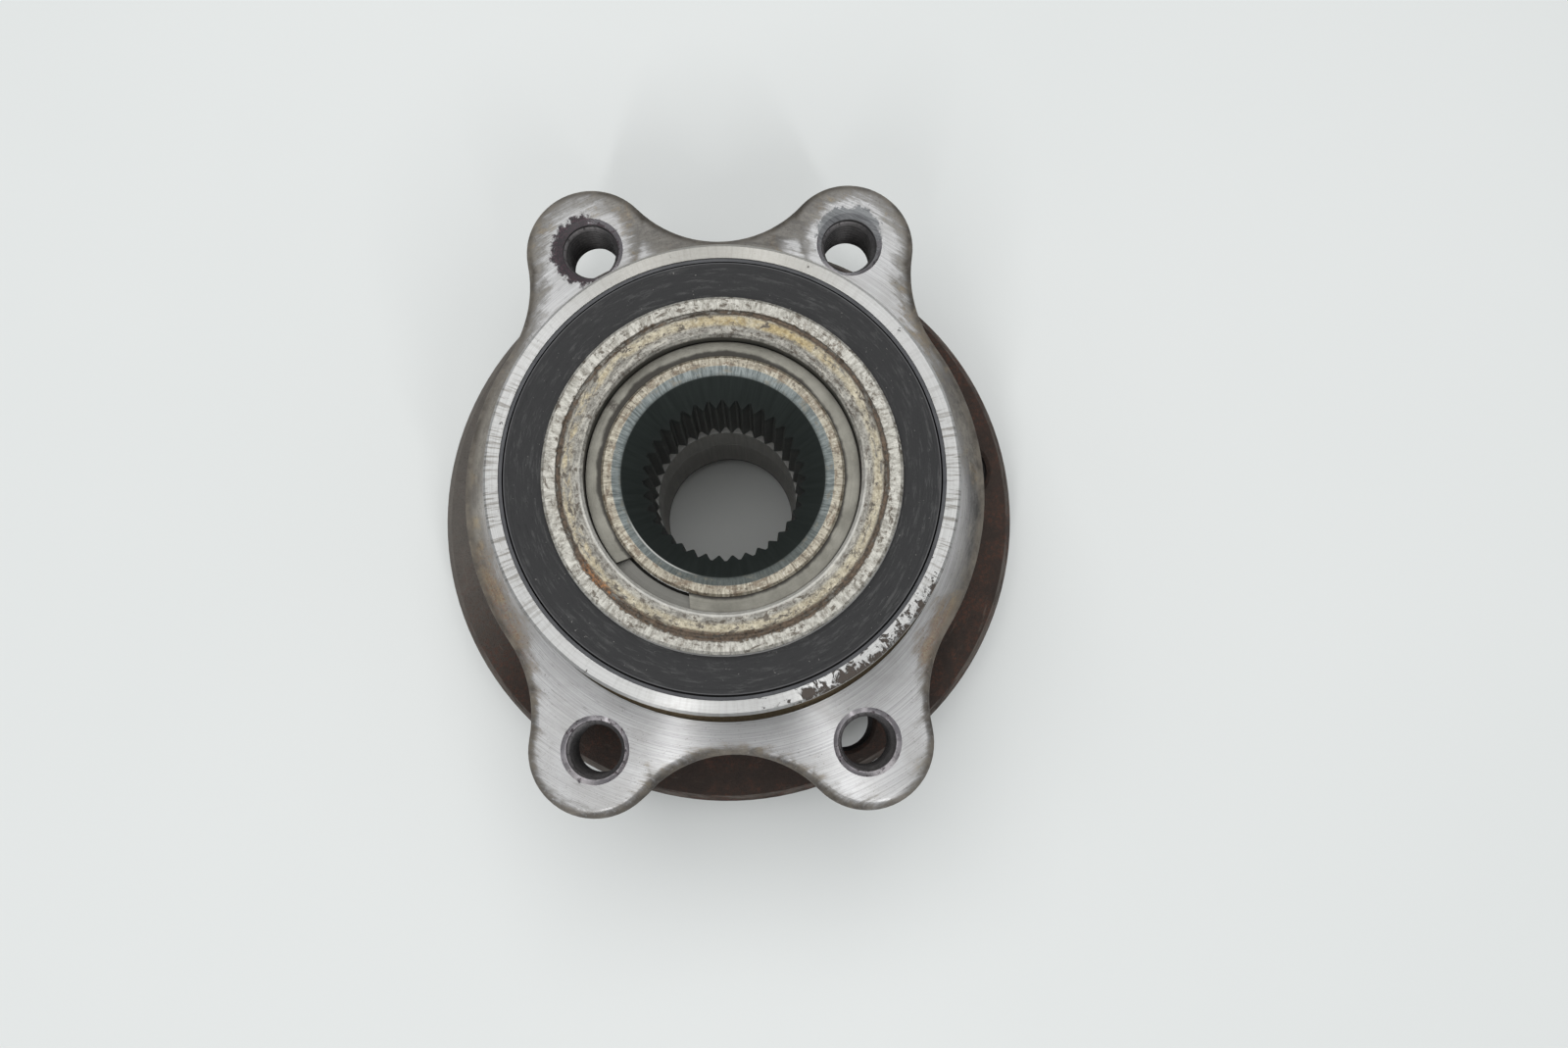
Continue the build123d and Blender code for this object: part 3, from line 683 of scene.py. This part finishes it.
def spring_steel():
    """Retaining ring: smooth beige-grey, black grime and painted shade along its inner edge, and a thin
    line of painted shade at its outer edge.
    """
    g = Graph("retaining ring steel")
    cloud = g.noise(scale=0.22, detail=5.0, rough=0.6, seed=31.0)
    fine = g.noise(scale=2.0, detail=5.0, rough=0.7, seed=32.0)
    drawn = g.round_noise(1.5, 3.0, detail=5.0, rough=0.7, seed=33.0)
    drawn_line = (0.105, 0.100, 0.083)
    speck_brown = (0.12, 0.10, 0.08)
    mark_black = (0.05, 0.042, 0.036)
    grime_and_shade_black = (0.030, 0.026, 0.020)
    corner_shade_brown = (0.05, 0.045, 0.035)
    mark = g.times(g.sector(146.0, 3.0), g.rise(fine, 0.38, 0.50))
    # black grime and painted shade beside the collar, reaching further out towards the upper left
    dark_edge_reach = g.plus(g.radius, g.sway(cloud, 1.8), g.times(g.sector(118.0, 95.0), -0.75))
    grime = g.rise(dark_edge_reach, journal_radius + 0.75, journal_radius + 0.1)
    # painted shade in the corner at the ring's outer edge
    outer_corner_shade = g.rise(g.radius, retainer_radius - 0.28, retainer_radius - 0.08)
    colour = g.layers(
        g.colour(g.rise(cloud, 0.25, 0.75), (0.105, 0.101, 0.085), (0.200, 0.193, 0.166)),
        (g.times(g.rise(drawn, 0.50, 0.66), 0.35), drawn_line),
        (g.times(g.rise(fine, 0.60, 0.68), 0.6), speck_brown),
        (g.times(mark, 0.8), mark_black),
        (g.times(grime, 0.93), grime_and_shade_black),
        (g.times(outer_corner_shade, 0.4), corner_shade_brown),
    )
    metal = g.mix(grime, 0.6, 0.1)
    roughness = g.mix(grime, g.mix(cloud, 0.34, 0.46), 0.7)
    return g.finish(colour, roughness, metal, g.bump(g.plus(cloud, fine), 0.05))


def encoder_rubber():
    """Speed encoder: charcoal, rubbed and pitted, with two fine rings near its edge."""
    g = Graph("encoder rubber")
    cloud = g.noise(scale=0.12, detail=6.0, rough=0.65, twist=0.5, seed=41.0)
    grain = g.noise(scale=5.0, detail=4.0, rough=0.7, seed=42.0)
    rubbed = g.round_noise(7.0, 1.1, detail=6.0, rough=0.78, seed=43.0)
    fleck = g.noise(scale=1.5, detail=3.0, rough=0.6, seed=44.0)
    rubbed_grey = (0.075, 0.075, 0.074)
    clean_black = (0.008, 0.008, 0.009)
    line_black = (0.009, 0.009, 0.010)
    rim_grey = (0.105, 0.105, 0.108)
    fleck_pale = (0.30, 0.29, 0.27)
    pit_black = (0.006, 0.006, 0.006)
    line = g.band(g.radius, encoder_radius - 1.05, encoder_radius - 0.95, 0.06)
    rim = g.band(g.radius, encoder_radius - 0.20, encoder_radius, 0.08)
    colour = g.layers(
        g.colour(cloud, (0.010, 0.010, 0.011), (0.026, 0.026, 0.027)),
        (g.times(g.rise(rubbed, 0.50, 0.66), 0.60), rubbed_grey),
        (g.times(g.rise(rubbed, 0.42, 0.34), 0.6), clean_black),
        (g.times(line, 0.8), line_black),
        (g.times(rim, 0.7), rim_grey),
        (g.times(g.rise(fleck, 0.68, 0.72), 0.6), fleck_pale),
        (g.times(g.rise(fleck, 0.33, 0.29), 0.8), pit_black),
    )
    normal = g.bump(g.plus(grain, g.times(rubbed, 1.5)), 0.06)
    return g.finish(colour, g.mix(cloud, 0.46, 0.62), 0.0, normal, specular=0.30)


def sheet_steel(name, dark, pale, seed):
    """Pressed sheet of the slinger and the seal cases, between two tones."""
    g = Graph(name)
    cloud = g.noise(scale=0.2, detail=5.0, rough=0.6, seed=seed)
    drawn = g.round_noise(24.0, 0.2, 0.4, detail=4.0, rough=0.7, seed=seed + 0.5)
    colour = g.layers(g.colour(cloud, dark, pale), (g.times(g.rise(drawn, 0.5, 0.7), 0.4), dark))
    return g.finish(colour, g.mix(drawn, 0.36, 0.52), 0.8, g.bump(drawn, 0.03))


def seal_rubber():
    """Moulded rubber of the seal lips."""
    g = Graph("seal rubber")
    cloud = g.noise(scale=0.3, detail=5.0, rough=0.6, seed=51.0)
    grain = g.noise(scale=6.0, detail=4.0, rough=0.7, seed=52.0)
    colour = g.colour(cloud, (0.014, 0.014, 0.015), (0.036, 0.035, 0.034))
    return g.finish(colour, g.mix(grain, 0.55, 0.72), 0.0, g.bump(grain, 0.04), specular=0.4)


def ball_steel():
    """Ground and lapped balls under a film of grease."""
    g = Graph("ball steel")
    cloud = g.noise(scale=0.25, detail=4.0, rough=0.5, seed=61.0)
    lapped = g.noise(scale=7.0, detail=5.0, rough=0.8, seed=62.0)
    colour = g.colour(cloud, (0.66, 0.65, 0.62), (0.80, 0.80, 0.79))
    return g.finish(colour, g.mix(cloud, 0.07, 0.16), 1.0, g.bump(lapped, 0.004))


def cage_polymer():
    """Glass-filled moulding of the cages, yellowed by grease."""
    g = Graph("cage polymer")
    cloud = g.noise(scale=0.22, detail=5.0, rough=0.6, seed=71.0)
    flow = g.round_noise(8.0, 1.0, 0.6, detail=5.0, rough=0.7, twist=1.0, seed=72.0)
    flow_pale = (0.72, 0.65, 0.47)
    colour = g.layers(
        g.colour(cloud, (0.40, 0.30, 0.15), (0.62, 0.53, 0.34)),
        (g.times(g.rise(flow, 0.52, 0.70), 0.35), flow_pale),
    )
    return g.finish(colour, g.mix(flow, 0.36, 0.52), 0.0, g.bump(flow, 0.04))


def thread_steel():
    """Cut threads: oily and dark, with a painted glint on the first turn below the ears' bevels."""
    g = Graph("thread steel")
    fine = g.noise(scale=1.2, detail=5.0, rough=0.7, seed=81.0)
    # painted glint on the first turn of the thread
    first_turn_glint = (0.36, 0.34, 0.345)
    thread_top = knuckle_face - ear_chamfer
    first_turn = g.rise(g.z, thread_top - 1.5, thread_top - 0.7)
    colour = g.layers(
        g.colour(fine, (0.026, 0.024, 0.024), (0.13, 0.125, 0.125)),
        (g.times(first_turn, g.rise(fine, 0.34, 0.52), 0.8), first_turn_glint),
    )
    return g.finish(colour, g.mix(fine, 0.34, 0.55), 0.7, g.bump(fine, 0.05))


def table_paint():
    """Pale table with a barely visible cloudiness."""
    g = Graph("pale table")
    cloud = g.noise(scale=0.006, detail=3.0, rough=0.5, seed=95.0)
    return g.finish(g.colour(cloud, (0.70, 0.72, 0.71), (0.75, 0.765, 0.755)), 0.55, specular=0.3)


# ---------------------------------------------------------------- CAD nodes and their materials
rubber = seal_rubber()
polymer = cage_polymer()
balls = ball_steel()
finishes = {
    "outer_ring": ring_steel(),
    "hub": hub_steel(),
    "inner_ring": bearing_steel(),
    "retaining_ring": spring_steel(),
    "encoder_ring": encoder_rubber(),
    "slinger": sheet_steel("slinger sheet", (0.24, 0.24, 0.24), (0.42, 0.42, 0.41), 91.0),
    "outboard_seal_case": sheet_steel(
        "outboard case sheet", (0.16, 0.15, 0.14), (0.34, 0.33, 0.32), 92.0
    ),
    "inboard_seal_case": sheet_steel(
        "inboard case sheet", (0.030, 0.031, 0.034), (0.075, 0.076, 0.080), 93.0
    ),
    "outboard_seal_lip": rubber,
    "inboard_seal_lip": rubber,
    "outboard_cage": polymer,
    "inboard_cage": polymer,
}
for name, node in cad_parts.items():
    node.data.materials.clear()
    node.data.materials.append(finishes.get(name, balls))

threads = thread_steel()


# ---------------------------------------------------------------- threads
def helix_rows(form, centre, bottom, top, major, minor, pitch):
    """The corners of a thread's section at each step of its helix. It thins out at both ends."""
    crest_half = pitch / 16
    foot_half = pitch * 7 / 16
    foot = major + thread_sink
    steps = int(((top - bottom) / pitch - 1) * steps_per_turn)
    rows = []
    for step in range(steps + 1):
        angle = 2 * pi * step / steps_per_turn
        middle = bottom + pitch / 2 + pitch * step / steps_per_turn
        grown = min(1.0, 2 * step / steps_per_turn, 2 * (steps - step) / steps_per_turn)
        crest = major - (major - minor) * grown
        section = (
            (foot, middle - foot_half),
            (crest, middle - crest_half),
            (crest, middle + crest_half),
            (foot, middle + foot_half),
        )
        row = []
        for radius, height in section:
            x = centre[0] + radius * cos(angle)
            y = centre[1] + radius * sin(angle)
            row.append(form.verts.new((x * MM, y * MM, height * MM)))
        rows.append(row)
    return rows


def thread(name, centre, bottom, top, major, minor, pitch, body):
    """An internal thread: one helical ridge that stands on the wall of a hole."""
    form = bmesh.new()
    rows = helix_rows(form, centre, bottom, top, major, minor, pitch)
    for first, second in zip(rows, rows[1:]):
        for corner in range(4):
            following = (corner + 1) % 4
            form.faces.new((first[corner], first[following], second[following], second[corner]))
    form.faces.new(rows[0][::-1])
    form.faces.new(rows[-1])
    bmesh.ops.recalc_face_normals(form, faces=form.faces)
    mesh = bpy.data.meshes.new(name)
    form.to_mesh(mesh)
    form.free()
    mesh.materials.append(threads)
    piece = bpy.data.objects.new(name, mesh)
    bpy.context.scene.collection.objects.link(piece)
    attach(piece, body)


def flange_thread(name, degrees, major, minor, pitch):
    """A thread through the wheel flange, on the bolt circle."""
    centre = (bolt_circle_radius * cos(radians(degrees)), bolt_circle_radius * sin(radians(degrees)))
    bottom = wheel_face + flange_hole_chamfer
    top = flange_back - flange_hole_chamfer
    thread(name, centre, bottom, top, major, minor, pitch, "rotor")


ear_signs = ((1, 1), (-1, 1), (-1, -1), (1, -1))
for number, (side_x, side_y) in enumerate(ear_signs, start=1):
    thread(
        f"ear_thread_{number}",
        (side_x * ear_x, side_y * ear_y),
        knuckle_back + ear_chamfer,
        knuckle_face - ear_chamfer,
        ear_hole_radius,
        ear_thread_minor,
        coarse_pitch,
        "outer",
    )
for number in range(bolt_count):
    flange_thread(
        f"wheel_bolt_thread_{number + 1}",
        bolt_phase + number * 360 / bolt_count,
        bolt_hole_radius,
        bolt_thread_minor,
        coarse_pitch,
    )
flange_thread("disc_screw_thread", screw_angle, screw_hole_radius, screw_thread_minor, screw_pitch)

# ---------------------------------------------------------------- table
table_mesh = bpy.data.meshes.new("table")
table_form = bmesh.new()
bmesh.ops.create_grid(table_form, x_segments=1, y_segments=1, size=table_half_width)
table_form.to_mesh(table_mesh)
table_form.free()
table_mesh.materials.append(table_paint())
table = bpy.data.objects.new("table", table_mesh)
bpy.context.scene.collection.objects.link(table)

# ---------------------------------------------------------------- light
world = bpy.data.worlds.new("studio")
world.use_nodes = True
background = world.node_tree.nodes["Background"]
background.inputs["Color"].default_value = (*room_tint, 1.0)
background.inputs["Strength"].default_value = room_strength
bpy.context.scene.world = world


def soft_lamp(name, place, size, power, colour):
    """A rectangular area lamp at a place, turned to the aim point."""
    data = bpy.data.lights.new(name, "AREA")
    data.shape = "RECTANGLE"
    data.size, data.size_y = size
    data.energy = power
    data.color = colour
    lamp = bpy.data.objects.new(name, data)
    lamp.location = place
    away = [p - a for p, a in zip(place, lamp_aim)]
    level = (away[0] ** 2 + away[1] ** 2) ** 0.5
    lamp.rotation_euler = Euler((atan2(level, away[2]), 0.0, atan2(away[0], -away[1])))
    bpy.context.scene.collection.objects.link(lamp)


soft_lamp("overhead", (-0.12, 0.40, 1.55), overhead_size, 18.6, warm_white)
soft_lamp("left strip", (-0.30, -0.85, 1.1), strip_size, 3.0, white)
soft_lamp("right strip", (0.43, -0.80, 1.1), strip_size, 2.5, white)

# ---------------------------------------------------------------- camera
camera_data = bpy.data.cameras.new("camera")
camera_data.sensor_width = sensor_width
camera_data.lens = lens_length
camera_data.clip_start = nearest_seen
camera = bpy.data.objects.new("camera", camera_data)
camera.location = [value * MM for value in camera_place]
camera.rotation_euler = Euler([radians(value) for value in camera_turn])
bpy.context.scene.collection.objects.link(camera)
bpy.context.scene.camera = camera
bpy.context.scene.view_settings.view_transform = "Standard"
